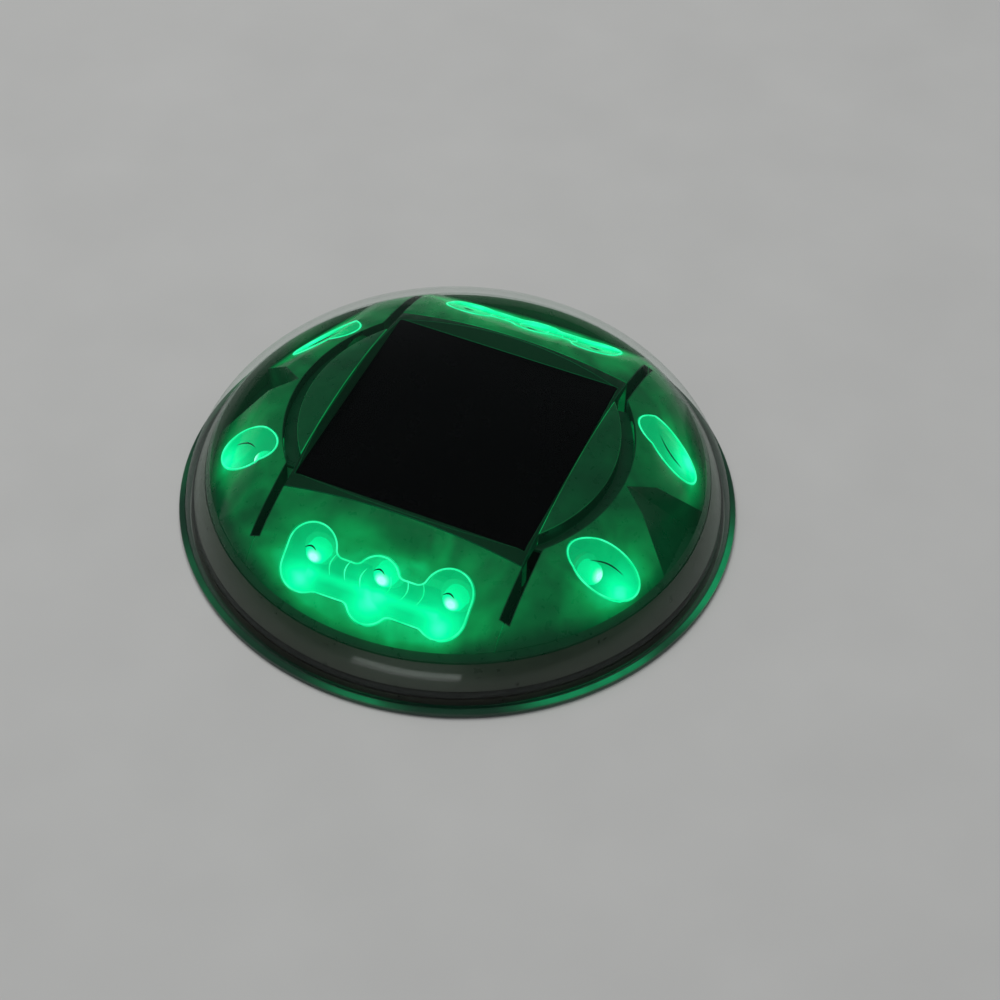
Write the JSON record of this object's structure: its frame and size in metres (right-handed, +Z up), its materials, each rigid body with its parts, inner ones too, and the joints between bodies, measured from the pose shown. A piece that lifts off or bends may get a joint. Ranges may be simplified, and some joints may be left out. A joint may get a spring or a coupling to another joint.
{
  "type": "raised pavement marker",
  "caption": "Round solar road stud: clear domed cover over a green-lit faceted housing with lamp lenses all round and a square solar panel on top, on a flat base.",
  "frame": {"origin": "centre of the underside, on the road surface", "axes": "+Z up; -Y towards the front three-lobed lens; +X to the right, towards a pair of side pods"},
  "size_m": [0.12, 0.12, 0.0285],
  "materials": {
    "clear_shell": "clear moulded polycarbonate, polished",
    "dark_shell": "dark moulded plastic behind the clear skirt",
    "seal_rubber": "soft black rubber",
    "light_guide": "clear green-lit light ring",
    "lit_housing": "translucent moulded housing, lit green from inside",
    "bezel_plastic": "dark satin plastic",
    "panel_glass": "black tempered glass",
    "silicon": "dark blue-black silicon",
    "tinned_strip": "tinned",
    "backing_board": "green glass-fibre laminate",
    "lit_lens": "clear ribbed lens, lit green",
    "lamp_body": "clear epoxy lamp, lit",
    "white_plastic": "white moulded plastic",
    "green_laminate": "green solder-masked laminate",
    "black_package": "black moulded package",
    "ferrite": "grey ferrite with copper winding",
    "capacitor_sleeve": "dark blue sleeve on an aluminium can",
    "ivory_plastic": "ivory nylon",
    "bright_steel": "zinc plated steel",
    "cell_wrap": "green shrink sleeve on a steel can",
    "black_plastic": "black moulded plastic",
    "lead_insulation": "coloured wire insulation",
    "button_plastic": "dark moulded plastic"
  },
  "bodies": {
    "marker": {"clear_cover": "clear_shell", "base_tray": "dark_shell", "rim_seal": "seal_rubber", "light_ring": "light_guide", "front_bay": "lit_housing", "rear_bay": "lit_housing", "right_side_body": "lit_housing", "left_side_body": "lit_housing", "top_deck": "lit_housing", "panel_bezel": "bezel_plastic", "panel_glass": "panel_glass", "solar_cells": "silicon", "cell_ribbons": "tinned_strip", "panel_backing": "backing_board", "front_lens": "lit_lens", "rear_lens": "lit_lens", "lens_right_front": "lit_lens", "lens_right_rear": "lit_lens", "lens_left_front": "lit_lens", "lens_left_rear": "lit_lens", "led_front_left": "lamp_body", "led_front_centre": "lamp_body", "led_front_right": "lamp_body", "led_rear_left": "lamp_body", "led_rear_centre": "lamp_body", "led_rear_right": "lamp_body", "led_right_front": "lamp_body", "led_right_rear": "lamp_body", "led_left_front": "lamp_body", "led_left_rear": "lamp_body", "front_led_holder": "white_plastic", "rear_led_holder": "white_plastic", "right_led_holders": "white_plastic", "left_led_holders": "white_plastic", "front_led_board": "green_laminate", "rear_led_board": "green_laminate", "right_led_boards": "green_laminate", "left_led_boards": "green_laminate", "main_board": "green_laminate", "controller_chip": "black_package", "power_inductor": "ferrite", "storage_capacitor": "capacitor_sleeve", "charge_diode": "black_package", "board_resistors": "black_package", "wire_connector": "ivory_plastic", "board_screws": "bright_steel", "battery_cell": "cell_wrap", "battery_holder": "black_plastic", "battery_tabs": "bright_steel", "panel_leads": "lead_insulation", "battery_leads": "lead_insulation", "led_leads": "lead_insulation", "deck_screws": "bright_steel", "push_switch": "black_plastic", "button_seal": "seal_rubber"},
    "button": {"power_button": "button_plastic", "switch_plunger": "ivory_plastic"}
  },
  "joints": [
    {"name": "button_press", "type": "slide", "parent": "marker", "child": "button", "axis": [0, 0, 1], "range_m": [0, 0.001], "stiffness_N_per_m": 2000}
  ]
}
